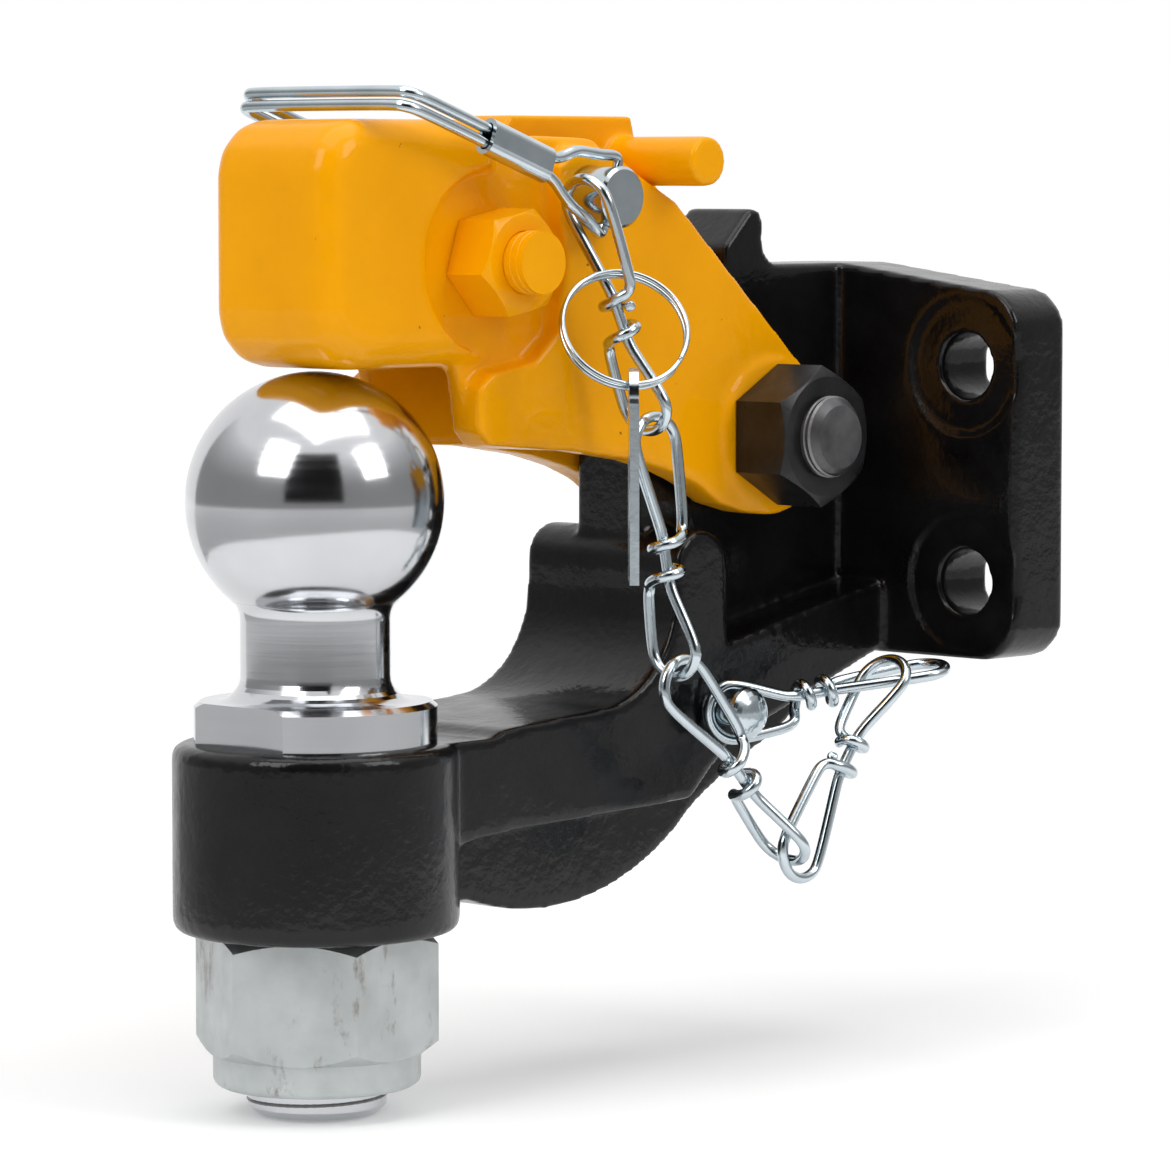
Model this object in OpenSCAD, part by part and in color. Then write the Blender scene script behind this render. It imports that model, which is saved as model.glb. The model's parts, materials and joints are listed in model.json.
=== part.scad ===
// Ball and pintle coupling: a cast hook that bolts to a vehicle, a tow ball on its arm, a latch that
// closes over the ball, a lock lever with a safety pin, and the chain that keeps the pin.
// The back face of the plate is at X = 0, the ball stands out along -X, and the pivots lie along Y.

/* [Mounting plate] */
// Plate thickness
plate_t = 16; // [13:0.5:19]
// Plate width
plate_w = 114; // [110:1:124]
// Plate height at its sides
plate_h = 76; // [74:1:80]
// Plate corner radius
plate_r = 9; // [5:0.5:12]
// Rise of the top edge at the middle
plate_rise = 5; // [3:0.5:6]
// Bolt hole spacing across
bolt_dy = 85.7; // [80:0.1:88]
// Bolt hole spacing in height
bolt_dz = 44.5; // [40:0.1:47]
// Bolt hole diameter
bolt_d = 13.5; // [11:0.1:15]
// Spot face diameter
spot_d = 29; // [24:0.5:31]
// Spot face depth
spot_h = 1; // [0.5:0.1:2]

/* [Casting] */
// Web thickness
web_t = 18; // [16:0.5:19]
// Width of the throat wall and the arm
throat_w = 43; // [40:0.5:46]
// Reach from the plate's back to the throat
throat_reach = 78.3; // [76.5:0.1:80]
// Reach from the plate's back to the front of the web
web_reach = 76.3; // [75:0.1:76.5]
// Throat fillet radius
throat_r = 22; // [18:0.5:24]
// Thickness of the throat wall
wall_t = 15; // [13:0.5:17]
// Height of the ears of the throat wall
ear_z = -10; // [-13:0.5:-9]
// Height of the lug that the lever catches
lug_z = 54.5; // [53:0.5:56]
// Underside of the arm
arm_z = -65; // [-68:0.5:-62]
// Lowest point of the keel
keel_z = -84.5; // [-87:0.5:-82]
// Radius of the keel's curve
keel_r = 62; // [58:1:66]

/* [Ball] */
// Ball diameter
ball_d = 50; // [48:0.1:50.8]
// Neck diameter
neck_d = 29; // [26:0.5:30]
// Flange diameter
flange_d = 47; // [44:0.5:50]
// Width over the wrench flats
flange_af = 40; // [36:0.5:42]
// Flange thickness
flange_h = 8; // [6:0.5:9]
// Ball centre above the boss
ball_rise = 46.3; // [44:0.1:50]
// Reach from the plate's back to the ball
ball_reach = 157.3; // [156:0.1:160]
// Height of the ball centre over the bolt pattern's centre
ball_z = -1.2; // [-2:0.1:-0.8]
// Shank diameter
shank_d = 27; // [24:0.5:28]
// Boss diameter
boss_d = 55.5; // [52:0.5:58]
// Boss height
boss_h = 36.6; // [33:0.1:40]
// Ball nut width over flats
nut_af = 41.5; // [40:0.5:46]
// Height of the ball nut's hexagon
nut_h = 23.5; // [18:0.5:26]
// Height of the ball nut's collar
collar_h = 6.5; // [5.5:0.5:8]
// Shank past the collar
shank_out = 5.2; // [3:0.2:8]

/* [Latch] */
// Width of the nose
nose_w = 34; // [32:0.5:36]
// Width over the nut's seat
seat_w = 29; // [28:0.5:30]
// Nose past the ball centre
nose_lead = 12.7; // [10:0.1:14]
// Top of the nose
nose_z = 72; // [71:0.5:73]
// Gap between the ball and the latch
nose_gap = 0.5; // [0.3:0.1:1]
// Width over the cheeks
cheek_w = 38; // [37:0.5:39]
// Gap between a cheek and the web
cheek_gap = 1.5; // [1:0.1:1.8]
// Pivot place along X
pivot_x = -47.5; // [-49:0.5:-46]
// Pivot height
pivot_z = 8.5; // [7:0.5:10]
// Pivot bolt diameter
pivot_d = 16; // [14:0.5:17]
// Radius of the cheek round the pivot
lobe_r = 16.5; // [15.5:0.5:17.5]
// Pivot nut width over flats
pivot_af = 25; // [24:0.5:27]
// Pivot nut height
pivot_nut_h = 13.5; // [11:0.5:15]
// Pivot bolt past its nut
pivot_out = 3.7; // [2:0.1:6]

/* [Lock lever] */
// Lever bolt place along X
lock_x = -125.5; // [-127:0.5:-124]
// Lever bolt height
lock_z = 44.5; // [43.5:0.5:45.5]
// Lever bolt diameter
lock_d = 12; // [10:0.5:12.5]
// Lever bolt nut width over flats
lock_af = 19; // [17:0.5:20]
// Lever bolt nut height
lock_nut_h = 10.8; // [8:0.2:12]
// Lever thickness
lever_t = 12; // [9:0.5:13]
// Handle diameter
handle_d = 10; // [8:0.5:11]
// Handle length out of the middle
handle_l = 30; // [26:0.5:34]
// Turn of the lever as the latch opens
lever_turn = 27; // [26:1:28]
// Spring wire diameter
spring_wire = 1.5; // [1:0.1:1.6]

/* [Safety pin] */
// Pin place along X
pin_x = -101; // [-101.5:0.1:-100.5]
// Pin height
pin_z = 57; // [56.6:0.1:57.4]
// Pin shank diameter
pin_d = 10; // [8:0.5:10.5]
// Pin head diameter
pin_head_d = 12; // [11:0.5:13]
// Pin head length
pin_head_l = 9; // [8:0.5:11]
// Bail wire diameter
bail_wire = 2.5; // [2:0.1:2.6]
// Length of the bail's legs
bail_leg = 58; // [57:0.5:59]
// Slope of the bail's legs
bail_slope = 19; // [18:0.5:20]
// Length of the ferrule
ferrule_l = 17; // [14:0.5:18]

/* [Chain] */
// Chain wire diameter
link_wire = 2.5; // [2:0.1:2.6]
// Length of a link
link_l = 54; // [53.5:0.5:55]
// Width of a link's loop
loop_w = 14.5; // [14:0.1:15]
// Play between two links
link_gap = 0.6; // [0.5:0.05:0.7]
// Rivet place along X
rivet_x = -67; // [-68:0.5:-66]
// Rivet height
rivet_z = -46.6; // [-47:0.1:-46]
// Rivet stud diameter
stud_d = 6; // [5:0.5:6]
// Split ring diameter
ring_d = 26; // [25:0.5:27]
// Split ring wire diameter
ring_wire = 1.2; // [1:0.1:1.3]
// Tag length
tag_l = 46; // [40:1:50]
// Tag width
tag_w = 18; // [14:1:20]
// Tag thickness
tag_t = 1.8; // [1.2:0.1:2.2]

/* [Hidden] */
$fn = 64;
EPS = 0.5;
FIT = 0.1;
FACE_GAP = 0.3;

CAST = [0.05, 0.05, 0.055];
PAINT = [1, 0.62, 0];
ZINC = [0.75, 0.78, 0.8];
CHROME = [0.85, 0.86, 0.88];
BLACK = [0.08, 0.08, 0.08];

plate_top = plate_h / 2;
boss_top = ball_z - ball_rise;
boss_bottom = boss_top - boss_h;
nut_bottom = boss_bottom - nut_h;
collar_bottom = nut_bottom - collar_h;
nose_x = -ball_reach - nose_lead;
nose_bottom = ball_z + ball_d / 2 + nose_gap;
cheek_out = cheek_w / 2;
cheek_in = web_t / 2 + cheek_gap;
pivot_face = cheek_out + 1;

// Outline helpers
function arc(x, y, r, a0, a1, n = 12) =
    [for (i = [0:n]) [x + r * cos(a0 + (a1 - a0) * i / n), y + r * sin(a0 + (a1 - a0) * i / n)]];
function unit(v) = v / norm(v);

// Extrudes an outline drawn in X and Z over a width in Y
module slab(points, y0, y1) {
    translate([0, y1, 0]) rotate([90, 0, 0]) linear_extrude(y1 - y0) polygon(points);
}

// Cylinder along Y
module rod(x, z, d, y0, y1, sides = 64, turn = 0) {
    translate([x, y1, z]) rotate([90, 0, 0]) rotate([0, 0, turn]) cylinder(d = d, h = y1 - y0, $fn = sides);
}

// Hexagon along Y with its corners turned by an angle
module hex_rod(x, z, af, y0, y1, turn) {
    rod(x, z, af / cos(30), y0, y1, 6, turn);
}

// Hexagon along Y with a round chamfer on the face at y0
module hex_nut(x, z, af, y0, y1, turn) {
    chamfer = af * 0.09;
    intersection() {
        hex_rod(x, z, af, y0, y1, turn);
        translate([x, y1, z]) rotate([90, 0, 0]) rotate_extrude()
            polygon([[0, 0], [af, 0], [af, y1 - y0 - chamfer - af * 0.25], [af / 2 * 0.97, y1 - y0], [0, y1 - y0]]);
    }
}

// Tube swept along a list of points, its rings carried along the path without twist
function tangents(p) = let (n = len(p) - 1)
    [for (i = [0:n]) unit(p[min(i + 1, n)] - p[max(i - 1, 0)])];
function first_normal(t) = unit(cross(t, abs(t[2]) < 0.9 ? [0, 0, 1] : [1, 0, 0]));
function normals(t) =
    [for (i = 0, n = first_normal(t[0]); i < len(t);
          i = i + 1, n = i < len(t) ? unit(n - (n * t[i]) * t[i]) : n) n];
module tube(path, d, sides = 8) {
    t = tangents(path);
    n = normals(t);
    last = len(path) - 1;
    rings = [for (i = [0:last]) for (k = [0:sides - 1])
        path[i] + d / 2 * (cos(360 * k / sides) * n[i] + sin(360 * k / sides) * cross(t[i], n[i]))];
    walls = [for (i = [0:last - 1]) for (k = [0:sides - 1]) let (
        a = i * sides + k, b = i * sides + (k + 1) % sides, c = a + sides, e = b + sides)
        each [[a, b, e], [a, e, c]]];
    caps = [for (k = [1:sides - 2]) each [[0, k + 1, k], [last * sides, last * sides + k, last * sides + k + 1]]];
    polyhedron([for (p = rings) p], [for (f = concat(walls, caps)) [f[0], f[2], f[1]]], convexity = 8);
}

// Least distance between the surfaces of a wound tube's turns
function wound_gap(path, d, skip) =
    min([for (i = [0:len(path) - 1]) for (j = [i + skip:1:len(path) - 1]) norm(path[i] - path[j])]) - d;

// Casting
lug_front = pivot_x - 3.5;
lug_back = lug_front + 11.5;
lug_step = lug_z - 8;
notch_r = 4.5;
notch_z = plate_top + plate_rise;
front_z = 28;
keel_x = -103;
shelf_z = -23;

throat_z = ear_z - wall_t / 2 - 4.5;
function throat_arc() = arc(-throat_reach - throat_r, throat_z, throat_r, 0, -90, 16);
arm_top = throat_z - throat_r;

// Top of the arm, which steps down to the seat of the ball's flange
arm_end = [[-ball_reach + boss_d / 2 + 3, arm_top - 2], [-ball_reach + boss_d / 2 - 1, boss_top], [-ball_reach, boss_top]];

web_outline = concat(
    [[-plate_t + EPS, notch_z]],
    arc(lug_back + notch_r, notch_z + notch_r, notch_r, -90, -180, 6),
    arc(lug_back - 3, lug_z - 3, 3, 0, 90, 6),
    [[lug_front + 8, lug_z], [lug_front, lug_step], [lug_front, front_z + 6], [lug_front - 5, front_z]],
    arc(-web_reach + 6, front_z - 6, 6, 90, 180, 6),
    [[-web_reach, ear_z - 4]],
    throat_arc(),
    arm_end,
    [[-ball_reach, boss_bottom + 2]],
    arc(keel_x, keel_z + keel_r, keel_r, -110, -46, 16),
    [[-46, keel_z + 25.5], [-34, keel_z + 30.5], [-plate_t + EPS, -plate_top]]);

arm_outline = concat(
    arc(-throat_reach + wall_t / 2, ear_z - wall_t / 2, wall_t / 2, 0, 180, 12),
    throat_arc(),
    arm_end,
    [[-ball_reach, arm_z - 4], [-throat_reach - 47, arm_z - 1],
     [-throat_reach + 4, arm_z + 1], [-throat_reach + wall_t, arm_z + 11]]);

shelf_outline = [[-throat_reach + wall_t - EPS, shelf_z - 10], [-plate_t + EPS, shelf_z],
    [-plate_t + EPS, -plate_top + 1], [-throat_reach + wall_t - EPS, arm_z + 11]];

module plate_solid() {
    rotate([90, 0, -90]) linear_extrude(plate_t) {
        square([plate_w - 2 * plate_r, plate_h], center = true);
        square([plate_w, plate_h - 2 * plate_r], center = true);
        for (y = [-1, 1], z = [-1, 1])
            translate([y * (plate_w / 2 - plate_r), z * (plate_h / 2 - plate_r)]) circle(plate_r);
        polygon([[-plate_w / 2 + plate_r, plate_top - EPS], [-plate_w / 2 + plate_r, plate_top],
            [-web_t / 2, plate_top + plate_rise], [web_t / 2, plate_top + plate_rise],
            [plate_w / 2 - plate_r, plate_top], [plate_w / 2 - plate_r, plate_top - EPS]]);
    }
}

module boss_solid() {
    edge = 2.5;
    translate([-ball_reach, 0, 0]) rotate_extrude() polygon(concat([[0, boss_bottom]],
        arc(boss_d / 2 - edge, boss_bottom + edge, edge, -90, 0, 6),
        arc(boss_d / 2 - edge, boss_top - edge, edge, 0, 90, 6), [[0, boss_top]]));
}

module body_casting() {
    color(CAST) difference() {
        union() {
            plate_solid();
            slab(web_outline, -web_t / 2, web_t / 2);
            slab(arm_outline, -throat_w / 2, throat_w / 2);
            slab(shelf_outline, -throat_w / 2, throat_w / 2);
            boss_solid();
        }
        for (y = [-1, 1], z = [-1, 1]) translate([0, y * bolt_dy / 2, z * bolt_dz / 2]) rotate([0, 90, 0]) {
            translate([0, 0, -plate_t - EPS]) cylinder(d = bolt_d, h = plate_t + 2 * EPS);
            translate([0, 0, -plate_t - EPS]) cylinder(d = spot_d, h = spot_h + EPS);
        }
        translate([-ball_reach, 0, boss_bottom - EPS]) cylinder(d = shank_d + 2 * FIT, h = boss_h + 2 * EPS);
        translate([-ball_reach, 0, boss_top]) cylinder(d = flange_d + 1, h = flange_h);
        rod(pivot_x, pivot_z, pivot_d + 2 * FIT, -web_t, web_t);
        rod(rivet_x, rivet_z, stud_d + 2 * FIT, -throat_w / 2 - EPS, -throat_w / 2 + rivet_deep);
    }
}

// Ball, its nut and the locking ring
neck_fillet = 5;
shank_end = collar_bottom - shank_out;

module tow_ball() {
    fillet_x = neck_d / 2 + neck_fillet;
    fillet_z = boss_top + flange_h + neck_fillet;
    neck_meet = asin(neck_d / ball_d);
    color(CHROME) difference() {
        translate([-ball_reach, 0, 0]) rotate_extrude($fn = 96) polygon(concat(
            [[0, shank_end], [shank_d / 2 - 1.5, shank_end], [shank_d / 2, shank_end + 1.5],
             [shank_d / 2, boss_top], [flange_d / 2, boss_top], [flange_d / 2, boss_top + flange_h - 1],
             [flange_d / 2 - 1.2, boss_top + flange_h]],
            arc(fillet_x, fillet_z, neck_fillet, -90, -180, 8),
            arc(0, ball_z, ball_d / 2, neck_meet - 90, 90, 40)));
        for (side = [-1, 1])
            translate([-ball_reach + side * (flange_af / 2 + flange_d / 2), 0, boss_top + flange_h / 2])
                cube([flange_d, flange_d * 2, flange_h + 2 * neck_fillet], center = true);
    }
}

nut_turn = 5.6;
insert_h = 3.2;
insert_d = shank_d + 7;

module ball_nut() {
    corner = nut_af / cos(30) / 2;
    collar_r = nut_af / 2 - 0.6;
    color(ZINC) translate([-ball_reach, 0, 0]) difference() {
        union() {
            intersection() {
                translate([0, 0, nut_bottom]) rotate([0, 0, nut_turn]) cylinder(r = corner, h = nut_h, $fn = 6);
                rotate_extrude() polygon([[0, nut_bottom - EPS], [collar_r, nut_bottom - EPS],
                    [corner, nut_bottom + 2.5], [corner, boss_bottom - 2.2], [nut_af / 2 - 0.5, boss_bottom],
                    [0, boss_bottom]]);
            }
            rotate_extrude() polygon(concat([[0, collar_bottom]],
                arc(collar_r - 2, collar_bottom + 2, 2, -90, 0, 6), [[collar_r, nut_bottom + EPS], [0, nut_bottom + EPS]]));
        }
        translate([0, 0, collar_bottom - EPS]) cylinder(d = shank_d + 2 * FIT, h = nut_h + collar_h + 2 * EPS);
        translate([0, 0, collar_bottom + 1.2]) cylinder(d = insert_d, h = insert_h);
    }
}

module ball_nut_insert() {
    color("white") translate([-ball_reach, 0, collar_bottom + 1.2]) difference() {
        cylinder(d = insert_d - 2 * FIT, h = insert_h - FIT);
        translate([0, 0, -EPS]) cylinder(d = shank_d + FIT, h = insert_h + 2 * EPS);
    }
}

// Latch pivot
pivot_nut_out = pivot_face + FACE_GAP + pivot_nut_h;
pivot_head_h = 10;

module pivot_bolt() {
    tip = 1.6;
    end = pivot_nut_out + pivot_out;
    color(BLACK) union() {
        translate([pivot_x, pivot_face + FACE_GAP, pivot_z]) rotate([90, 0, 0]) rotate_extrude()
            polygon([[0, -EPS], [pivot_d / 2, -EPS], [pivot_d / 2, pivot_face + FACE_GAP + end - tip],
                [pivot_d / 2 - tip, pivot_face + FACE_GAP + end], [0, pivot_face + FACE_GAP + end]]);
        hex_rod(pivot_x, pivot_z, pivot_af - 1, pivot_face + FACE_GAP, pivot_face + FACE_GAP + pivot_head_h, 30);
    }
}

module pivot_nut() {
    color(BLACK) difference() {
        hex_nut(pivot_x, pivot_z, pivot_af, -pivot_nut_out, -pivot_face - FACE_GAP, 30);
        rod(pivot_x, pivot_z, pivot_d + 2 * FIT, -pivot_nut_out - EPS, -pivot_face);
    }
}

// Latch
nose_round = 6;
nose_bend = 5;
nose_back = -122;
slot_w = web_t;
cheek_step = seat_w / 2;
recess_r = 18;
lobe = [pivot_x, pivot_z];

// Cheek outlines, with the lobe's arc round the pivot and the straight rear edge that leaves it
rear_a = 49;
cheek_tail = concat([[-104, 7], [-87, 4.5], [-76.6, 1.8], [-69, -1.2], [pivot_x - 15.5, pivot_z - 13.6],
    [pivot_x - 6.5, pivot_z - lobe_r + 0.6]],
    arc(pivot_x, pivot_z, lobe_r, -100, rear_a, 20), [[-76, 56], [pin_x + 13.5, pin_z + 4.8]]);
inner_cheek = concat([[-134, nose_bottom + 4], [-131, 12], [-128, 8.5]], cheek_tail,
    [[pin_x + 6, nose_z - 3.5], [pin_x - 9, nose_z - 3], [-134, nose_z - 4]]);
outer_cheek = concat([[-131.5, 20], [-131.5, 12], [-128.5, 9]], cheek_tail,
    [[pin_x + 7, pin_z + 9], [pin_x - 3, pin_z + 10], [pin_x - 8.2, pin_z + 6], [pin_x - 8.2, 31],
     [-116, 25], [-128, 23]]);

module nose_solid() {
    hull() for (y = [-1, 1]) {
        for (z = [[nose_bottom + nose_round + nose_bend, -1], [nose_z - nose_round - nose_bend, 1]], a = [0:30:90])
            translate([nose_x + nose_round + nose_bend - nose_bend * cos(a), y * (nose_w / 2 - nose_round),
                z[0] + z[1] * nose_bend * sin(a)]) sphere(nose_round, $fn = 32);
        for (z = [nose_bottom + nose_round, nose_z - nose_round])
            translate([nose_back - nose_round, y * (nose_w / 2 - nose_round), z]) sphere(nose_round, $fn = 32);
    }
}

module latch() {
    color(PAINT) difference() {
        union() {
            nose_solid();
            for (side = [-1, 1]) {
                slab(inner_cheek, min(side * cheek_in, side * cheek_step), max(side * cheek_in, side * cheek_step));
                slab(outer_cheek, min(side * (cheek_step - EPS), side * cheek_out),
                    max(side * (cheek_step - EPS), side * cheek_out));
                rod(pivot_x, pivot_z, 2 * lobe_r - 2, min(side * cheek_in, side * pivot_face),
                    max(side * cheek_in, side * pivot_face));
            }
        }
        slab([[lock_x - 12, 31], [-100, 31], [-100, nose_z + 5], [lock_x - 12, nose_z + 5]], -slot_w / 2, slot_w / 2);
        for (side = [-1, 1])
            rod(lock_x, lock_z, 2 * recess_r, min(side * cheek_step, side * cheek_w), max(side * cheek_step, side * cheek_w));
        rod(lock_x, lock_z, lock_d + 2 * FIT, -cheek_w, cheek_w);
        rod(pin_x, pin_z, pin_d + 4 * FIT, -cheek_w, cheek_w);
        rod(pivot_x, pivot_z, pivot_d + 2 * FIT, -cheek_w, cheek_w);
    }
}

// Lock lever, its bolt, nut and spring
hub_r = 9;
lock_head_h = 7.5;
lock_seat = cheek_step + 0.1;
lock_out = lock_seat + lock_nut_h + 5;
handle_x = -78.5;
handle_z = 64;
nose_tip_x = lug_front - 3;
nose_tip_z = lug_step - 3;
pin_reach = norm([pin_x - lock_x, pin_z - lock_z]);
pin_angle = atan2(pin_z - lock_z, pin_x - lock_x);
lever_outline = concat([[lock_x - 2, lock_z + hub_r], [-110, nose_z + 1], [handle_x + 3, nose_z + 1],
    [handle_x + handle_d / 2 + 0.5, handle_z], [nose_tip_x - 3, nose_tip_z + 4.5], [nose_tip_x, nose_tip_z + 2.5],
    [nose_tip_x, nose_tip_z], [nose_tip_x - 6, nose_tip_z], [-76, 35], [-112, 34], [lock_x, lock_z - hub_r]]);

module lock_lever() {
    hub_y = 1;
    color(PAINT) difference() {
        union() {
            slab(lever_outline, -lever_t / 2, lever_t / 2);
            rod(lock_x, lock_z, 2 * hub_r, -lever_t / 2, hub_y);
            rod(handle_x, handle_z, handle_d, -handle_l, lever_t / 2);
        }
        rod(lock_x, lock_z, lock_d + 2 * FIT, -lever_t, lever_t);
        rod(lock_x, lock_z, 2 * spring_r + spring_wire + 2, hub_y, lever_t);
        for (a = [0:lever_turn / 8:lever_turn])
            rod(lock_x + pin_reach * cos(pin_angle - a), lock_z + pin_reach * sin(pin_angle - a), pin_d + 1.6,
                -lever_t, lever_t);
    }
}

module lock_bolt() {
    color(PAINT) union() {
        rod(lock_x, lock_z, lock_d, -lock_out, lock_seat + EPS);
        hex_rod(lock_x, lock_z, lock_af, lock_seat, lock_seat + lock_head_h, 12);
    }
}

module lock_nut() {
    color(PAINT) difference() {
        hex_nut(lock_x, lock_z, lock_af, -lock_seat - lock_nut_h, -lock_seat, 12);
        rod(lock_x, lock_z, lock_d + 2 * FIT, -cheek_w, cheek_w);
    }
}

spring_r = lock_d / 2 + 1.6;
spring_turns = 3;
spring_path = [for (i = [0:24 * spring_turns])
    [lock_x + spring_r * cos(15 * i), 2.2 + i * (spring_wire + 0.5) / 24, lock_z + spring_r * sin(15 * i)]];
echo(lock_spring_gap = wound_gap(spring_path, spring_wire, 12));

module lock_spring() {
    color(ZINC) tube(spring_path, spring_wire, 6);
}

// Safety pin and bail
bail_y = cheek_out + FACE_GAP + pin_head_l * 0.58;
bail_half = (bail_wire + 0.2) / 2;
leg_dir = [-cos(bail_slope), 0, sin(bail_slope)];
leg_up = [sin(bail_slope), 0, cos(bail_slope)];
far_y = bail_y - 1.5;
fork = pin_d / 2 + bail_wire / 2 + 0.4;
ferrule_at = 19;
leg_drop = pin_head_d / 2 + 2.4;

// Point of the bail from its distance along a leg, its side and its height over the bail's plane
function bail(u, y, h) = [pin_x, y, pin_z] + u * leg_dir + h * leg_up;
// One half of the wire, from the fork at the far end to the cross hole in the pin's head
bail_bend = 4;
function bail_half_path(s) = concat(
    [bail(-3, far_y, s * fork), bail(5, far_y, s * fork), bail(9, far_y, s * (fork - 1.2)),
     bail(17, far_y, s * (bail_half + 0.8)), bail(21, far_y, s * bail_half)],
    [for (a = [0:30:90]) bail(bail_leg - bail_bend + bail_bend * sin(a), far_y - bail_bend + bail_bend * cos(a), s * bail_half)],
    [for (a = [0:30:90]) bail(bail_leg - bail_bend + bail_bend * cos(a), -bail_y + bail_bend - bail_bend * sin(a), s * bail_half)],
    [bail(ferrule_at + ferrule_l, -bail_y, s * bail_half), bail(ferrule_at, -bail_y, s * bail_half),
     bail(ferrule_at - 3, -bail_y - (s < 0 ? 0.5 : 0), s * (bail_half + 1)),
     bail(13, -bail_y - (s < 0 ? 1.2 : 0), s * 4.8), bail(11, -bail_y - (s < 0 ? 1.6 : 0), s * 5.8),
     bail(6, -bail_y - (s < 0 ? 1.6 : 0), s * 6.6), bail(3, -bail_y - (s < 0 ? 1.2 : 0), s * (leg_drop - 0.7)),
     bail(0.7, -bail_y, s * (leg_drop - 0.3)), bail(0, -bail_y, s * (leg_drop - 1.2)), bail(0, -bail_y, s * 2)]);
bail_path = let (top = bail_half_path(1), low = bail_half_path(-1))
    concat(top, [for (i = [len(low) - 1:-1:0]) low[i]]);

module safety_pin() {
    tip = 2;
    tail = far_y + bail_wire / 2 + 3;
    head = cheek_out + FACE_GAP;
    color(ZINC) difference() {
        translate([pin_x, tail, pin_z]) rotate([90, 0, 0]) rotate_extrude() polygon([[0, 0], [pin_d / 2 - tip, 0],
            [pin_d / 2, tip], [pin_d / 2, tail + head], [pin_head_d / 2, tail + head],
            [pin_head_d / 2, tail + head + pin_head_l - 0.6], [pin_head_d / 2 - 0.6, tail + head + pin_head_l],
            [0, tail + head + pin_head_l]]);
        translate([pin_x, -bail_y, pin_z]) rotate([0, bail_slope, 0])
            cylinder(d = bail_wire + 4 * FIT, h = pin_head_d * 2, center = true);
    }
}

module pin_bail() {
    color(ZINC) tube(bail_path, bail_wire, 8);
}

module bail_ferrule() {
    wall = 1;
    color(ZINC) multmatrix([
        [leg_dir[0], 0, leg_up[0], pin_x], [0, 1, 0, -bail_y], [leg_dir[2], 0, leg_up[2], pin_z], [0, 0, 0, 1]])
    translate([ferrule_at, 0, 0]) rotate([0, 90, 0]) linear_extrude(ferrule_l) difference() {
        union() {
            for (s = [-1, 1]) translate([s * bail_half, 0]) circle(bail_wire / 2 + wall);
            square([2 * bail_half, bail_wire + 2 * wall], center = true);
        }
        for (s = [-1, 1]) translate([s * bail_half, 0]) circle(bail_wire / 2 + FIT);
        square([2 * bail_half, bail_wire + 2 * FIT], center = true);
    }
}

// Chain: each link is one wire bent into two loops, with its ends wrapped round the waist
bow_r = (loop_w - link_wire) / 2;
link_c = link_l - link_wire;
waist = 0.45 * link_c;
wrap_r = link_wire + 0.15;
touch = link_wire + link_gap;
link_pitch = link_c - touch;

// Half of the wire: the wrap round the waist, the leg that leaves it, the bow and the leg back to the core
function half_link(turn, w) = let (c = [cos(turn), sin(turn), 0]) concat(
    [for (a = [330:-30:60]) [wrap_r * cos(turn + a), wrap_r * sin(turn + a), w - 1.4 - 2.6 * (360 - a) / 360]],
    [for (a = [40, 20, 4]) let (r = wrap_r + (60 - a) * 0.036)
        [r * cos(turn + a), r * sin(turn + a), w - 3.7 - (60 - a) * 0.02]],
    [5.5 * c + [0, 0, w - 6.2], 5.8 * c + [0, 0, w - 8.6]],
    [for (a = [0:22.5:180]) bow_r * cos(a) * c + [0, 0, bow_r - bow_r * sin(a)]],
    [-1.2 * c + [0, 0, w - 7.5], -0.2 * c + [0, 0, w - 4.5]]);
function link_path(turn_a, turn_b) = let (a = half_link(turn_a, waist), b = half_link(turn_b, link_c - waist)) concat(a,
    [for (i = [len(b) - 1:-1:0]) [b[i][0], -b[i][1], link_c - b[i][2]]]);

// Joints of the chain from the rivet to the bail, each link leaving its joint at a heading in the XZ plane
heading_5 = 10;
yaw_5 = 28;
heading_4 = -127;
heading_3 = 127;
stud_y = -throat_w / 2 - link_wire / 2 - 2.8;
stud_in = stud_d / 2 + link_wire / 2 + link_gap;
hook_5 = waist + 10.5;
hook_4 = touch + 2.8;
hook_1 = touch + 4.9;
function polar(r, a) = r * [cos(a), sin(a)];
function flat(l, y) = sqrt(l * l - pow(y[1] - y[0], 2));
function spot(p, y) = [p[0], y, p[1]];
dir_5 = [cos(heading_5) * cos(yaw_5), -cos(heading_5) * sin(yaw_5), sin(heading_5)];
axis_4 = [rivet_x, stud_y, rivet_z] + (hook_5 - stud_in) * dir_5 + 1.95 * unit([0, 1, 0] - dir_5[1] * dir_5);
point_4 = [axis_4[0], axis_4[2]];
y_4 = axis_4[1] - bow_r + 0.1;
y_3 = [y_4 + 0.6, y_4 + 5];
y_2 = [y_4 + 5.5, y_4 + 9.3];
bail_hook_y = -bail_y - 1.6;
y_1 = [y_4 + 9.8, bail_hook_y - 1.2];
point_3 = point_4 + polar(link_pitch - hook_4, heading_4);
point_2 = point_3 + polar(flat(link_pitch, y_3), heading_3);
bail_hook = let (p = bail(6.5, 0, -6.5)) [p[0], p[2]];
len_2 = flat(link_pitch, y_2);
len_1 = flat(link_c - hook_1, y_1);
span = min(norm(bail_hook - point_2), len_1 + len_2 - 0.01);
span_a = atan2(bail_hook[1] - point_2[1], bail_hook[0] - point_2[0]);
heading_2 = span_a - acos((span * span + len_2 * len_2 - len_1 * len_1) / (2 * span * len_2));
point_1 = point_2 + polar(len_2, heading_2);
heading_1 = atan2(bail_hook[1] - point_1[1], bail_hook[0] - point_1[0]);
echo(ring = ring_top, tag = tag_place, bail_y = bail_y, nose = nose_bottom);
echo(chain = [[rivet_x, rivet_z], point_4, point_3, point_2, point_1, bail_hook]);
echo(chain_y = [stud_y, y_4, y_3[0], y_2[0], y_1[0]]);
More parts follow.
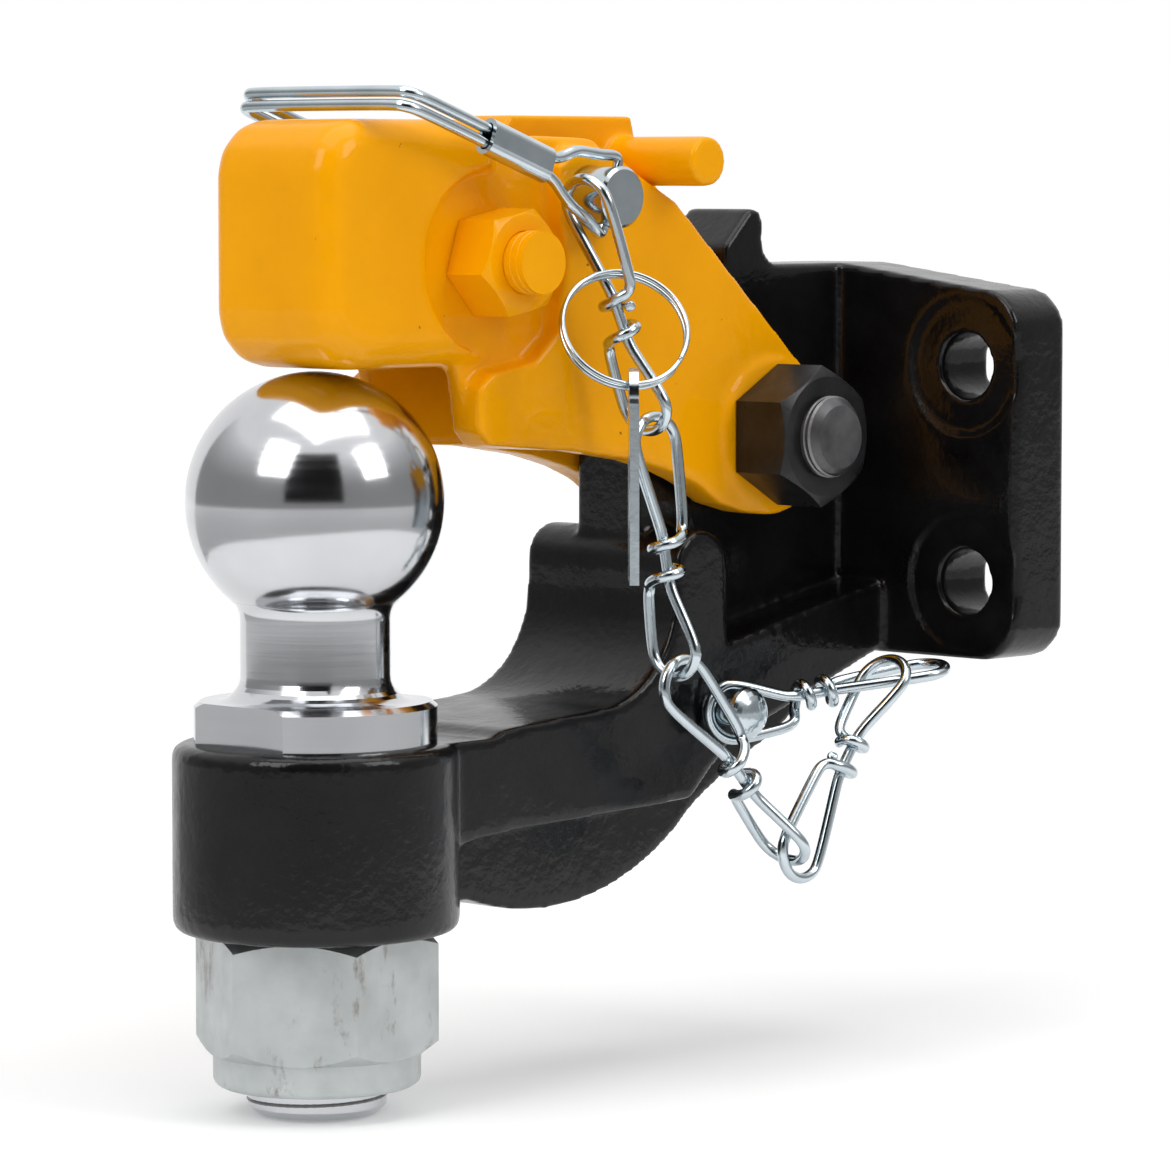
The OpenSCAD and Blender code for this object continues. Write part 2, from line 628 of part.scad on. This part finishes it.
echo(headings = [heading_5, heading_4, heading_3, heading_2, heading_1]);

// Wire of a link whose axis points along a direction, its first bow a distance before a place
function link_wire_path(place, dir, before, turn_a, turn_b) = let (w = unit(dir), v = unit([0, 1, 0] - w[1] * w),
    u = cross(v, w), start = place - before * w)
    [for (p = link_path(turn_a, turn_b)) start + p[0] * u + p[1] * v + p[2] * w];

dir_4 = [cos(heading_4), 0, sin(heading_4)];
dir_1 = spot(bail_hook, y_1[1]) - spot(point_1, y_1[0]);
wire_5 = link_wire_path([rivet_x, stud_y, rivet_z], dir_5, stud_in, 0, -90);
wire_4 = link_wire_path(spot(point_4, y_4), dir_4, hook_4, 90, 0);
wire_3 = link_wire_path(spot(point_3, y_3[0]), spot(point_2, y_3[1]) - spot(point_3, y_3[0]), 0, 90, 0);
wire_2 = link_wire_path(spot(point_2, y_2[0]), spot(point_1, y_2[1]) - spot(point_2, y_2[0]), 0, 90, 0);
wire_1 = link_wire_path(spot(point_1, y_1[0]), dir_1, 0, 90, 90);

module link(path) {
    color(ZINC) tube(path, link_wire, 8);
}
module chain_link_5() { link(wire_5); }
module chain_link_4() { link(wire_4); }
module chain_link_3() { link(wire_3); }
module chain_link_2() { link(wire_2); }
module chain_link_1() { link(wire_1); }

rivet_deep = 12;
module chain_rivet() {
    head_r = stud_d / 2 + 2.3;
    head_y = stud_y - link_wire / 2 - 3;
    dome = 3;
    color(ZINC) translate([rivet_x, 0, rivet_z]) rotate([90, 0, 0]) rotate_extrude() polygon(concat(
        [[0, throat_w / 2 - rivet_deep + 1], [stud_d / 2, throat_w / 2 - rivet_deep + 1], [stud_d / 2, -head_y],
         [head_r, -head_y]], [for (a = [15:15:90]) [head_r * cos(a), -head_y + dome * sin(a)]]));
}

// Split ring in the upper loop of the first link, and the tag that hangs on it
ring_r = (ring_d - ring_wire) / 2;
ring_lean = 32;
ring_up = waist + 9;
ring_top = spot(point_1, y_1[0]) + ring_up * unit(dir_1) - [0, 2, 0];
ring_yaw = 30;
ring_along = [cos(ring_yaw), -sin(ring_yaw), 0];
ring_out = [-sin(ring_yaw), -cos(ring_yaw), 0];
ring_down = sin(ring_lean) * ring_out - [0, 0, cos(ring_lean)];
ring_side = cos(ring_lean) * ring_out + [0, 0, sin(ring_lean)];
ring_mid = ring_top + ring_r * ring_down;
ring_pitch = ring_wire + 0.45;
function on_ring(a, s) = ring_mid + ring_r * (-cos(a) * ring_down + sin(a) * ring_along) + s * ring_side;
ring_path = [for (i = [0:60]) on_ring(12 * i + 130, ring_pitch * (i / 30 - 1) * 0.98)];
echo(split_ring_gap = wound_gap(ring_path, ring_wire, 15));

module split_ring() {
    color(ZINC) tube(ring_path, ring_wire, 6);
}

tag_hole = 5.5;
tag_face = 45;
tag_place = on_ring(180, 0);
module hang_tag() {
    color(ZINC) translate(tag_place) rotate([0, 0, tag_face]) rotate([90, 0, 0])
    translate([0, 0, -tag_t / 2]) linear_extrude(tag_t) difference() {
        union() {
            translate([-tag_w / 2, -tag_l + 8]) square([tag_w, tag_l - 8 - 4 + tag_hole / 2 - 2]);
            translate([0, -2]) circle(5.2);
            translate([-5, -8]) square([10, 6]);
        }
        translate([0, -0.6]) circle(d = tag_hole);
    }
}

body_casting();
tow_ball();
ball_nut();
ball_nut_insert();
pivot_bolt();
pivot_nut();
chain_rivet();
latch();
lock_bolt();
lock_nut();
lock_spring();
lock_lever();
safety_pin();
pin_bail();
bail_ferrule();
chain_link_1();
chain_link_2();
chain_link_3();
chain_link_4();
chain_link_5();
split_ring();
hang_tag();
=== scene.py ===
import json
import math

import bmesh
import bpy
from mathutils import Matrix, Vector


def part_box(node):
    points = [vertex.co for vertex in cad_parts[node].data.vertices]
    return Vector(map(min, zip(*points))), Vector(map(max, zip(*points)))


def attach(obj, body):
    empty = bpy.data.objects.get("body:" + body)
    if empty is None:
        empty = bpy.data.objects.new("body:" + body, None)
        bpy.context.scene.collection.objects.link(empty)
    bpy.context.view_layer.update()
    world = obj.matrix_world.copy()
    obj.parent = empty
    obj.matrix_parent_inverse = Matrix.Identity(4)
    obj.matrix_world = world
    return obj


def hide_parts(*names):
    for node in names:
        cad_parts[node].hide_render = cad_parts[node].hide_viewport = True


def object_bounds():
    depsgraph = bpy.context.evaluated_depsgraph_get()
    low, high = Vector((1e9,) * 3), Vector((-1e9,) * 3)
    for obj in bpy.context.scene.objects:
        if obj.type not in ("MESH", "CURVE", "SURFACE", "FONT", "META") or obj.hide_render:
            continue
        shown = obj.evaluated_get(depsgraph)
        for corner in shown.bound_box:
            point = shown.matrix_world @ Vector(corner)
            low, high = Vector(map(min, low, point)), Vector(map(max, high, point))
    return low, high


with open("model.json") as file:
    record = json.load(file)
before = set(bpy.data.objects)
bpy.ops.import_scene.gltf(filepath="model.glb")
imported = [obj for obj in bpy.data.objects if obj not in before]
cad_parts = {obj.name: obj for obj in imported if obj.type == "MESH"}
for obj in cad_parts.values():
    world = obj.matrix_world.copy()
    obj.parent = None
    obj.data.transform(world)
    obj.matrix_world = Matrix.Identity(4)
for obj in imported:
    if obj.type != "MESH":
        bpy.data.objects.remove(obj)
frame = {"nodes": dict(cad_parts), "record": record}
cad_box = [list(map(float, corner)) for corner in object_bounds()]
nodes = frame["nodes"]
MM = 0.001
X, Y, Z = range(3)
WHITE = (1, 1, 1, 1)


# Materials
NOISE_LOW = 0.3
NOISE_HIGH = 0.7
MIX_FIRST, MIX_SECOND, MIX_RESULT = 6, 7, 2  # the Mix node's sockets for colours
DARK_ROUGH_SPREAD = 0.14


class Look:
    """A Principled material whose inputs follow noise in object coordinates."""

    def __init__(self, name, **values):
        self.material = bpy.data.materials.new(name)
        self.material.use_nodes = True
        self.tree = self.material.node_tree
        self.shader = self.tree.nodes["Principled BSDF"]
        self.coords = self.tree.nodes.new("ShaderNodeTexCoord").outputs["Object"]
        self.normal = None
        for key, value in values.items():
            self.shader.inputs[key.replace("_", " ")].default_value = value

    def noise(self, scale, detail, stretch=None, roughness=0.55):
        node = self.tree.nodes.new("ShaderNodeTexNoise")
        node.inputs["Scale"].default_value = scale
        node.inputs["Detail"].default_value = detail
        node.inputs["Roughness"].default_value = roughness
        source = self.coords
        if stretch:
            mapping = self.tree.nodes.new("ShaderNodeMapping")
            mapping.inputs["Scale"].default_value = stretch
            self.tree.links.new(source, mapping.inputs["Vector"])
            source = mapping.outputs["Vector"]
        self.tree.links.new(source, node.inputs["Vector"])
        return node.outputs["Fac"]

    def ramp(self, source, low, high, first=NOISE_LOW, last=NOISE_HIGH):
        """Goes from low to high, two greys or two colours, while the source goes from first to last."""
        node = self.tree.nodes.new("ShaderNodeValToRGB")
        for element, place, value in zip(node.color_ramp.elements, (first, last), (low, high)):
            element.position = place
            element.color = (*value, 1.0) if isinstance(value, tuple) else (value, value, value, 1.0)
        self.tree.links.new(source, node.inputs["Fac"])
        return node.outputs["Color"]

    def mix(self, factor, first, second):
        node = self.tree.nodes.new("ShaderNodeMix")
        node.data_type = "RGBA"
        self.tree.links.new(factor, node.inputs["Factor"])
        self.tree.links.new(first, node.inputs[MIX_FIRST])
        self.tree.links.new(second, node.inputs[MIX_SECOND])
        return node.outputs[MIX_RESULT]

    def link(self, name, source):
        self.tree.links.new(source, self.shader.inputs[name])

    def bump(self, source, strength, distance):
        node = self.tree.nodes.new("ShaderNodeBump")
        node.inputs["Strength"].default_value = strength
        node.inputs["Distance"].default_value = distance
        self.tree.links.new(source, node.inputs["Height"])
        if self.normal:
            self.tree.links.new(self.normal, node.inputs["Normal"])
        self.normal = node.outputs["Normal"]
        for socket in ("Normal", "Coat Normal"):
            self.link(socket, self.normal)


def make_cast():
    look = Look("cast black paint", Specular_IOR_Level=0.05, Coat_Weight=0.55, Coat_Roughness=0.1)
    dark, light = (0.0025, 0.0025, 0.003), (0.007, 0.007, 0.0075)
    look.link("Base Color", look.ramp(look.noise(60, 5), dark, light, first=0.35))
    look.link("Roughness", look.ramp(look.noise(140, 6), 0.3, 0.46))
    look.bump(look.noise(620, 3), strength=0.22, distance=0.0004)
    look.bump(look.noise(110, 3), strength=0.3, distance=0.0008)
    return look.material


def make_yellow():
    look = Look("yellow paint", Specular_IOR_Level=0.02, Coat_Weight=0.32, Coat_Roughness=0.06)
    tone = look.ramp(look.noise(45, 4), (0.85, 0.345, 0.0005), (0.92, 0.385, 0.001))
    dirt = look.ramp(look.noise(420, 6), (0.12, 0.06, 0.01), (0.3, 0.14, 0.01), first=0.0, last=1.0)
    speck = look.ramp(look.noise(330, 3), 0.0, 1.0, first=0.735, last=0.765)
    look.link("Base Color", look.mix(speck, tone, dirt))
    look.link("Roughness", look.ramp(look.noise(120, 5), 0.26, 0.42))
    look.bump(look.noise(260, 4), strength=0.18, distance=0.0005)
    look.bump(look.noise(70, 2), strength=0.35, distance=0.0011)
    return look.material


def make_chrome():
    look = Look("polished steel", Metallic=1.0)
    look.link("Base Color", look.ramp(look.noise(35, 4), (0.54, 0.55, 0.57), (0.62, 0.63, 0.65)))
    lines = look.noise(900, 3, stretch=(0.02, 0.02, 1.0))
    look.link("Roughness", look.ramp(lines, 0.1, 0.17))
    look.bump(lines, strength=0.05, distance=0.0001)
    return look.material


def make_zinc(name, metallic, low, high, smooth, rough, smudged=False):
    look = Look(name, Metallic=metallic)
    tone = look.ramp(look.noise(90, 5), low, high)
    if smudged:
        marks = look.noise(130, 8, stretch=(1.0, 1.0, 0.45), roughness=0.7)
        smudge = look.ramp(marks, 0.0, 0.8, first=0.57, last=0.67)
        stain = look.ramp(look.noise(700, 4), (0.13, 0.1, 0.09), (0.36, 0.33, 0.3), first=0.2, last=0.8)
        tone = look.mix(smudge, tone, stain)
    look.link("Base Color", tone)
    look.link("Roughness", look.ramp(look.noise(200, 6), smooth, rough))
    look.bump(look.noise(500, 5), strength=0.12, distance=0.0002)
    return look.material


def make_dark(name, dark, light, smooth):
    look = Look(name, Metallic=0.55)
    look.link("Base Color", look.ramp(look.noise(150, 5), dark, light))
    look.link("Roughness", look.ramp(look.noise(260, 5), smooth, smooth + DARK_ROUGH_SPREAD))
    look.bump(look.noise(600, 4), strength=0.15, distance=0.0002)
    return look.material


def make_nylon():
    look = Look("nylon", Subsurface_Weight=0.1)
    look.link("Base Color", look.ramp(look.noise(120, 3), (0.62, 0.63, 0.58), (0.7, 0.71, 0.66)))
    look.link("Roughness", look.ramp(look.noise(300, 3), 0.45, 0.6))
    return look.material


CAST = make_cast()
YELLOW = make_yellow()
CHROME = make_chrome()
ZINC = make_zinc("zinc wire", 1.0, (0.5, 0.57, 0.61), (0.62, 0.69, 0.73), 0.12, 0.22)
NUT_ZINC = make_zinc("zinc nut", 0.7, (0.46, 0.49, 0.49), (0.58, 0.61, 0.61), 0.36, 0.55, smudged=True)
BLACK = make_dark("black oxide", (0.012, 0.012, 0.013), (0.03, 0.03, 0.031), 0.26)
THREAD = make_dark("worn thread", (0.05, 0.05, 0.052), (0.13, 0.13, 0.135), 0.3)
CREST = make_dark("worn crest", (0.12, 0.12, 0.122), (0.3, 0.29, 0.29), 0.28)
NYLON = make_nylon()

LINKS = ["chain_link_%d" % number for number in range(1, 6)]
NODE_LOOKS = {
    "body_casting": CAST, "tow_ball": CHROME, "ball_nut": NUT_ZINC, "ball_nut_insert": NYLON,
    "pivot_bolt": THREAD, "pivot_nut": BLACK, "chain_rivet": ZINC, "latch": YELLOW, "lock_bolt": YELLOW,
    "lock_nut": YELLOW, "lock_spring": ZINC, "lock_lever": YELLOW, "safety_pin": ZINC, "pin_bail": ZINC,
    "bail_ferrule": ZINC, "split_ring": ZINC, "hang_tag": ZINC, **dict.fromkeys(LINKS, ZINC),
}


def paint(obj, material):
    obj.data.materials.clear()
    obj.data.materials.append(material)


for name, material in NODE_LOOKS.items():
    paint(nodes[name], material)


# Shared by all pieces
def body_of(node):
    for body, members in frame["record"]["behaviour"]["bodies"].items():
        if node in members:
            return body


def add_piece(name, verts, faces):
    mesh = bpy.data.meshes.new(name)
    mesh.from_pydata(verts, [], faces)
    obj = bpy.data.objects.new(name, mesh)
    bpy.context.scene.collection.objects.link(obj)
    return obj


def shade_smooth(obj):
    for face in obj.data.polygons:
        face.use_smooth = True


# Copies of CAD nodes with worked surfaces
JOIN_WITHIN = 0.00001
SHARP_FROM = math.radians(12)
BREAK_FROM = math.radians(22)
FLAT_WITHIN = math.radians(1)
PAIR_BEND = math.radians(40)
PAIR_SKEW = math.radians(60)
WIRE_LEVELS = 2


def copy_of(node):
    """A new piece with the node's mesh, its corners joined and its stored normals left out."""
    work = bmesh.new()
    work.from_mesh(nodes[node].data)
    bmesh.ops.remove_doubles(work, verts=work.verts, dist=JOIN_WITHIN)
    work.verts.index_update()
    verts = [v.co for v in work.verts]
    faces = [[v.index for v in face.verts] for face in work.faces]
    obj = add_piece(node + "_skin", verts, faces)
    work.free()
    obj.matrix_world = nodes[node].matrix_world.copy()
    return obj


def bake(obj):
    """Applies the modifiers of a piece."""
    graph = bpy.context.evaluated_depsgraph_get()
    mesh = bpy.data.meshes.new_from_object(obj.evaluated_get(graph))
    obj.modifiers.clear()
    obj.data = mesh


def stand_for(obj, node):
    """Puts a finished copy in the node's place."""
    paint(obj, NODE_LOOKS[node])
    shade_smooth(obj)
    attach(obj, body_of(node))
    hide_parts(node)


def cast_skin(node, grain, rounds):
    """A cast surface: the node's shape with its edges rounded off."""
    obj = copy_of(node)
    remesh = obj.modifiers.new("grain", "REMESH")
    remesh.mode = "VOXEL"
    remesh.voxel_size = grain
    soft = obj.modifiers.new("soft", "SMOOTH")
    soft.factor = 0.5
    soft.iterations = rounds
    bake(obj)
    stand_for(obj, node)


def smooth_skin(node, edge=0.0):
    """A machined piece: the node's own mesh, shaded smooth between its sharp edges, which may be broken."""
    obj = copy_of(node)
    if edge:
        work = bmesh.new()
        work.from_mesh(obj.data)
        bmesh.ops.dissolve_limit(work, angle_limit=FLAT_WITHIN, verts=work.verts, edges=work.edges)
        work.to_mesh(obj.data)
        work.free()
        bevel = obj.modifiers.new("edges", "BEVEL")
        bevel.width = edge
        bevel.segments = 2
        bevel.limit_method = "ANGLE"
        bevel.angle_limit = BREAK_FROM
        bake(obj)
    stand_for(obj, node)
    obj.data.set_sharp_from_angle(angle=SHARP_FROM)


def wire_skin(node):
    """A round wire: the node's coarse tube, smoothed."""
    obj = copy_of(node)
    work = bmesh.new()
    work.from_mesh(obj.data)
    bmesh.ops.join_triangles(work, faces=work.faces, angle_face_threshold=PAIR_BEND,
                             angle_shape_threshold=PAIR_SKEW)
    work.to_mesh(obj.data)
    work.free()
    surface = obj.modifiers.new("round", "SUBSURF")
    surface.levels = WIRE_LEVELS
    surface.render_levels = WIRE_LEVELS
    bake(obj)
    stand_for(obj, node)


cast_skin("body_casting", grain=0.88 * MM, rounds=6)
cast_skin("latch", grain=0.7 * MM, rounds=14)
cast_skin("lock_lever", grain=0.5 * MM, rounds=26)
for name in ("tow_ball", "ball_nut_insert", "pivot_bolt", "lock_bolt", "safety_pin", "bail_ferrule",
             "chain_rivet"):
    smooth_skin(name)
smooth_skin("ball_nut", edge=0.4 * MM)
smooth_skin("pivot_nut", edge=0.35 * MM)
smooth_skin("lock_nut", edge=0.5 * MM)
for name in ("pin_bail", "lock_spring", "split_ring", *LINKS):
    wire_skin(name)


# Threads that show at the ends of the bolts and the ball's shank
TURN_STEPS = 48
FADE_STEPS = 8
RIDGE_FOOT = -0.15 * MM
RIDGE_FIRST, RIDGE_TOP, RIDGE_LAST, RIDGE_ROOM = 0.02, 0.3, 0.58, 0.6  # shares of the pitch
PIVOT_HIDDEN, PIVOT_BARE = 0.5 * MM, 0.4 * MM  # inside the nut, and left plain at the end
LOCK_HIDDEN = 0.4 * MM
SHANK_HIDDEN, SHANK_BARE = 0.5 * MM, 1.2 * MM


def thread(name, body, material, start, along, radius, length, pitch, height):
    """A helical ridge round a shank, from a start point along a direction."""
    axis = Vector(along).normalized()
    side = axis.orthogonal().normalized()
    other = axis.cross(side)
    steps = int(TURN_STEPS * (length - pitch * RIDGE_ROOM) / pitch)
    verts, faces = [], []
    for i in range(steps + 1):
        angle = 2 * math.pi * i / TURN_STEPS
        rise = pitch * i / TURN_STEPS
        out = side * math.cos(angle) + other * math.sin(angle)
        fade = min(1.0, i / FADE_STEPS, (steps - i) / FADE_STEPS)
        base = Vector(start) + axis * rise
        for share, lift in ((RIDGE_FIRST, RIDGE_FOOT), (RIDGE_TOP, height * fade), (RIDGE_LAST, RIDGE_FOOT)):
            verts.append(base + axis * (pitch * share) + out * (radius + lift))
        if i:
            a = 3 * (i - 1)
            faces += [(a + 3, a + 4, a + 1, a), (a + 4, a + 5, a + 2, a + 1), (a + 5, a + 3, a, a + 2)]
    faces += [(0, 1, 2), (3 * steps + 2, 3 * steps + 1, 3 * steps)]
    obj = add_piece(name, verts, faces)
    paint(obj, material)
    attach(obj, body)


def between(low, high, axis):
    return (low[axis] + high[axis]) / 2


pivot_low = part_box("pivot_bolt")[0]
nut_low, nut_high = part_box("pivot_nut")
thread("pivot_thread", "hook", CREST,
       (between(nut_low, nut_high, X), nut_low[Y] + PIVOT_HIDDEN, between(nut_low, nut_high, Z)), (0, -1, 0),
       radius=8.0 * MM, length=nut_low[Y] - pivot_low[Y] - PIVOT_BARE, pitch=1.2 * MM, height=0.3 * MM)
lock_low, lock_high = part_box("lock_nut")
bolt_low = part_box("lock_bolt")[0]
thread("lock_thread", "latch", YELLOW,
       (between(lock_low, lock_high, X), lock_low[Y] + LOCK_HIDDEN, between(lock_low, lock_high, Z)), (0, -1, 0),
       radius=6.0 * MM, length=lock_low[Y] - bolt_low[Y], pitch=1.75 * MM, height=0.2 * MM)
ball_low, ball_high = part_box("tow_ball")
ball_nut_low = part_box("ball_nut")[0]
ball_x = between(ball_low, ball_high, X)
ball_y = between(ball_low, ball_high, Y)
thread("shank_thread", "hook", CREST, (ball_x, ball_y, ball_nut_low[Z] + SHANK_HIDDEN), (0, 0, -1),
       radius=13.5 * MM, length=ball_nut_low[Z] - ball_low[Z] - SHANK_BARE, pitch=2.0 * MM, height=0.25 * MM)


# Fillet between the ball and its neck
BALL_R = 25.0 * MM
NECK_R = 14.5 * MM
FILLET_R = 4.5 * MM
SINK = 0.4 * MM
ARC_STEPS = 12
RING_STEPS = 128
RING_SHARP_FROM = math.radians(30)


def neck_fillet(name, middle):
    """A ring with a hollow face that leads from the neck into the ball."""
    drop = math.sqrt((BALL_R + FILLET_R) ** 2 - (NECK_R + FILLET_R) ** 2)
    reach = math.atan2(drop, NECK_R + FILLET_R)
    profile = [(NECK_R - SINK, -drop)]
    for i in range(ARC_STEPS + 1):
        angle = math.pi - reach * i / ARC_STEPS
        profile.append((NECK_R + FILLET_R + FILLET_R * math.cos(angle), -drop + FILLET_R * math.sin(angle)))
    shrink = 1 - SINK / BALL_R
    rim_r, rim_z = profile[-1]
    profile.append((rim_r * shrink - SINK, rim_z * shrink + SINK))
    count = len(profile)
    verts, faces = [], []
    for j in range(RING_STEPS):
        angle = 2 * math.pi * j / RING_STEPS
        for r, z in profile:
            verts.append((middle[X] + r * math.cos(angle), middle[Y] + r * math.sin(angle), middle[Z] + z))
        start, after = j * count, (j + 1) % RING_STEPS * count
        for i in range(count):
            k = (i + 1) % count
            faces.append((start + i, after + i, after + k, start + k))
    obj = add_piece(name, verts, faces)
    paint(obj, CHROME)
    shade_smooth(obj)
    obj.data.set_sharp_from_angle(angle=RING_SHARP_FROM)
    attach(obj, body_of("tow_ball"))


neck_fillet("neck_fillet", (ball_x, ball_y, ball_high[Z] - BALL_R))


# Floor, and bands that polished faces mirror
FLOOR_SIZE = 6
FLOOR_GAP = 0.0005
CENTRE = (-0.09, -0.01, -0.02)
BAND_STEP = 3
WALL_FIRST, WALL_LAST = -172, 80
WALL_R, WALL_TOP = 1.9, 1.7
WALL_GLOW_FROM = WALL_R + 0.1
MAT_R, MAT_Z = 0.3, 0.002
DOOR_FIRST, DOOR_LAST = -71, -20
DOOR_R, DOOR_LOW, DOOR_TOP = 1.6, 0.17, 1.7


def seen_directly(tree):
    """1 for rays that show the background: from the camera, off polished faces or through clear ones."""
    path = tree.nodes.new("ShaderNodeLightPath")
    total = path.outputs["Is Camera Ray"]
    for name in ("Is Glossy Ray", "Is Transmission Ray"):
        larger = tree.nodes.new("ShaderNodeMath")
        larger.operation = "MAXIMUM"
        tree.links.new(total, larger.inputs[0])
        tree.links.new(path.outputs[name], larger.inputs[1])
        total = larger.outputs[0]
    return total


def stage_material(name, color, glow, inner=0.25, outer=1.6, inner_share=0.35):
    """A plain matt material that glows, more toward its rim, only for rays that show the background."""
    material = bpy.data.materials.new(name)
    material.use_nodes = True
    tree = material.node_tree
    tree.nodes.clear()
    output = tree.nodes.new("ShaderNodeOutputMaterial")
    diffuse = tree.nodes.new("ShaderNodeBsdfDiffuse")
    diffuse.inputs["Color"].default_value = (color, color, color, 1)
    surface = diffuse.outputs["BSDF"]
    if glow:
        middle = tree.nodes.new("ShaderNodeVectorMath")
        middle.operation = "LENGTH"
        tree.links.new(tree.nodes.new("ShaderNodeTexCoord").outputs["Object"], middle.inputs[0])
        fade = tree.nodes.new("ShaderNodeMapRange")
        fade.inputs["From Min"].default_value = inner
        fade.inputs["From Max"].default_value = outer
        fade.inputs["To Min"].default_value = glow * inner_share
        fade.inputs["To Max"].default_value = glow
        tree.links.new(middle.outputs["Value"], fade.inputs["Value"])
        scale = tree.nodes.new("ShaderNodeMath")
        scale.operation = "MULTIPLY"
        tree.links.new(fade.outputs["Result"], scale.inputs[1])
        tree.links.new(seen_directly(tree), scale.inputs[0])
        light = tree.nodes.new("ShaderNodeEmission")
        tree.links.new(scale.outputs[0], light.inputs["Strength"])
        both = tree.nodes.new("ShaderNodeAddShader")
        tree.links.new(surface, both.inputs[0])
        tree.links.new(light.outputs["Emission"], both.inputs[1])
        surface = both.outputs["Shader"]
    tree.links.new(surface, output.inputs["Surface"])
    return material


floor_z = cad_box[0][Z] - FLOOR_GAP
bpy.ops.mesh.primitive_plane_add(size=FLOOR_SIZE, location=(0, 0, floor_z))
floor = bpy.context.object
floor.name = "floor"
paint(floor, stage_material("pale floor", color=0.9, glow=0.6))


def studio_band(name, rims, first, last, material):
    """A curved band round the camera's side of the studio, seen only where polished faces mirror it."""
    verts, faces = [], []
    for i in range(first, last + 1, BAND_STEP):
        angle = math.radians(i)
        verts += [(radius * math.sin(angle), -radius * math.cos(angle), height) for radius, height in rims]
        if i > first:
            a = len(verts) - 4
            faces.append((a, a + 2, a + 3, a + 1))
    band = add_piece(name, verts, faces)
    band.location = (CENTRE[X], CENTRE[Y], floor_z)
    band.visible_camera = False
    band.visible_diffuse = False
    band.visible_shadow = False
    paint(band, material)


studio_band("grey wall", ((WALL_R, 0.0), (WALL_R, WALL_TOP)), WALL_FIRST, WALL_LAST,
            stage_material("grey wall", color=0.2, glow=0.85, inner=WALL_GLOW_FROM,
                           outer=math.hypot(WALL_R, WALL_TOP), inner_share=0.24))
studio_band("grey mat", ((MAT_R, MAT_Z), (WALL_R, MAT_Z)), WALL_FIRST, WALL_LAST,
            stage_material("grey mat", color=0.3, glow=0.66))
studio_band("dark doorway", ((DOOR_R, DOOR_LOW), (DOOR_R, DOOR_TOP)), DOOR_FIRST, DOOR_LAST,
            stage_material("dark band", color=0.02, glow=0.0))


# Lamps and world
SIDE_SIZE, SIDE_POWER = (0.5, 0.55), 3.5
TOP_SIZE, TOP_POWER = (0.9, 0.9), 4.4
SEEN_STRENGTH = 1.0
AMBIENT_STRENGTH = 0.5


def lamp(name, place, size, power):
    """A soft rectangular lamp that faces the part."""
    data = bpy.data.lights.new(name, "AREA")
    data.shape = "RECTANGLE"
    data.size, data.size_y = size
    data.energy = power
    obj = bpy.data.objects.new(name, data)
    obj.location = place
    obj.rotation_euler = (Vector(CENTRE) - Vector(place)).to_track_quat("-Z", "Y").to_euler()
    bpy.context.scene.collection.objects.link(obj)


lamp("left softbox", (-0.98, -0.1, 0.66), SIDE_SIZE, SIDE_POWER)
lamp("right softbox", (0.15, -1.0, 0.66), SIDE_SIZE, SIDE_POWER)
lamp("top softbox", (-0.1, -0.1, 0.95), TOP_SIZE, TOP_POWER)

world = bpy.data.worlds.new("studio")
bpy.context.scene.world = world
world.use_nodes = True
sky = world.node_tree
sky.nodes.clear()


def background(strength):
    node = sky.nodes.new("ShaderNodeBackground")
    node.inputs["Color"].default_value = WHITE
    node.inputs["Strength"].default_value = strength
    return node.outputs["Background"]


mixer = sky.nodes.new("ShaderNodeMixShader")
sky.links.new(seen_directly(sky), mixer.inputs[0])
sky.links.new(background(AMBIENT_STRENGTH), mixer.inputs[1])
sky.links.new(background(SEEN_STRENGTH), mixer.inputs[2])
sky.links.new(mixer.outputs[0], sky.nodes.new("ShaderNodeOutputWorld").inputs["Surface"])


# Camera at the photo's angle
AZIMUTH = math.radians(-45.77)
ELEVATION = math.radians(4.442)
DISTANCE = 1.04827
TARGET = Vector((-0.10349, -0.01999, -0.01922))
SENSOR_WIDTH = 36
LENS = 163.8
CLIP_START = 0.05

back = Vector((math.sin(AZIMUTH) * math.cos(ELEVATION), -math.cos(AZIMUTH) * math.cos(ELEVATION),
               math.sin(ELEVATION)))
camera_data = bpy.data.cameras.new("camera")
camera_data.sensor_width = SENSOR_WIDTH
camera_data.lens = LENS
camera_data.clip_start = CLIP_START
camera = bpy.data.objects.new("camera", camera_data)
camera.location = TARGET + back * DISTANCE
camera.rotation_euler = back.to_track_quat("Z", "Y").to_euler()
bpy.context.scene.collection.objects.link(camera)
bpy.context.scene.camera = camera
bpy.context.scene.view_settings.view_transform = "Standard"

bpy.context.view_layer.update()
